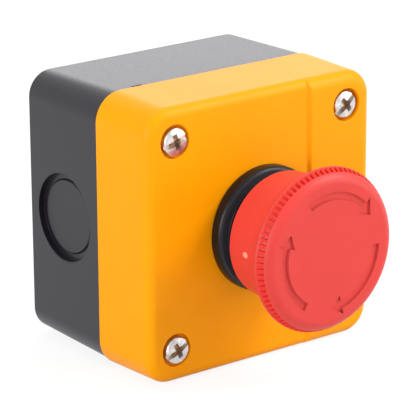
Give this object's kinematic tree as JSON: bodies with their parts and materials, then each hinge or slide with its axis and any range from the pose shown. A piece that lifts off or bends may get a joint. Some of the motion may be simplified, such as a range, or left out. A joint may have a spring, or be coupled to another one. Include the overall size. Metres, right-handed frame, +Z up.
{
  "type": "emergency stop station",
  "caption": "Surface-mounted emergency stop station: square two-part moulded box with a knurled mushroom push button that locks when pressed and turns to release.",
  "frame": {"origin": "centre of the flat back, which lies on the wall", "axes": "X to the right seen from the front, Z up, the button faces -Y and the wall is at +Y"},
  "size_m": [0.0688, 0.0758, 0.0688],
  "materials": {
    "black_plastic": "moulded, satin, fine grain",
    "yellow_plastic": "moulded, half gloss",
    "red_plastic": "moulded, half gloss",
    "bezel_plastic": "moulded, satin",
    "seal_rubber": "soft, matt",
    "plated_steel": "bright zinc plate",
    "spring_steel": "drawn wire",
    "white_plastic": "natural, satin",
    "grey_plastic": "moulded, satin",
    "opening_plastic": "moulded, satin",
    "closing_plastic": "moulded, satin",
    "contact_brass": "stamped, bright"
  },
  "bodies": {
    "station": {"rear_box": "black_plastic", "front_cover": "yellow_plastic", "lid_seal": "seal_rubber", "cover_screws": "plated_steel", "bezel_body": "bezel_plastic", "panel_gasket": "seal_rubber", "ring_nut": "grey_plastic", "shaft_seal": "seal_rubber", "latch_sleeve": "grey_plastic", "latch_spring": "spring_steel", "return_spring": "spring_steel", "contact_carrier": "grey_plastic", "carrier_screws": "plated_steel", "nc_block_case": "opening_plastic", "nc_block_back": "grey_plastic", "nc_terminals": "contact_brass", "nc_spring": "spring_steel", "no_block_case": "closing_plastic", "no_block_back": "grey_plastic", "no_terminals": "contact_brass", "no_spring": "spring_steel", "clamp_plates": "plated_steel", "terminal_screws": "plated_steel"},
    "pusher": {"pusher": "white_plastic"},
    "button": {"mushroom_head": "red_plastic", "head_shaft": "white_plastic", "shaft_clip": "spring_steel"},
    "nc_slider": {"nc_plunger": "opening_plastic", "nc_bridge": "contact_brass"},
    "no_slider": {"no_plunger": "closing_plastic", "no_bridge": "contact_brass"}
  },
  "joints": [
    {"name": "press", "type": "slide", "parent": "station", "child": "pusher", "axis": [0, 1, 0], "range_m": [0, 0.0034], "stiffness_N_per_m": 4000, "springref_m": -0.001, "deforming": ["return_spring"]},
    {"name": "twist", "type": "hinge", "parent": "pusher", "child": "button", "pos_m": [0, -0.06, 0], "axis": [0, 1, 0], "range_deg": [0, 45], "stiffness_Nm_per_rad": 0.05},
    {"name": "nc_travel", "type": "slide", "parent": "station", "child": "nc_slider", "axis": [0, 1, 0], "range_m": [0, 0.0034], "deforming": ["nc_spring"]},
    {"name": "no_travel", "type": "slide", "parent": "station", "child": "no_slider", "axis": [0, 1, 0], "range_m": [0, 0.0034], "deforming": ["no_spring"]}
  ],
  "couplings": [
    {"joint": "nc_travel", "follows": "press", "ratio": 1},
    {"joint": "no_travel", "follows": "press", "ratio": 1}
  ]
}
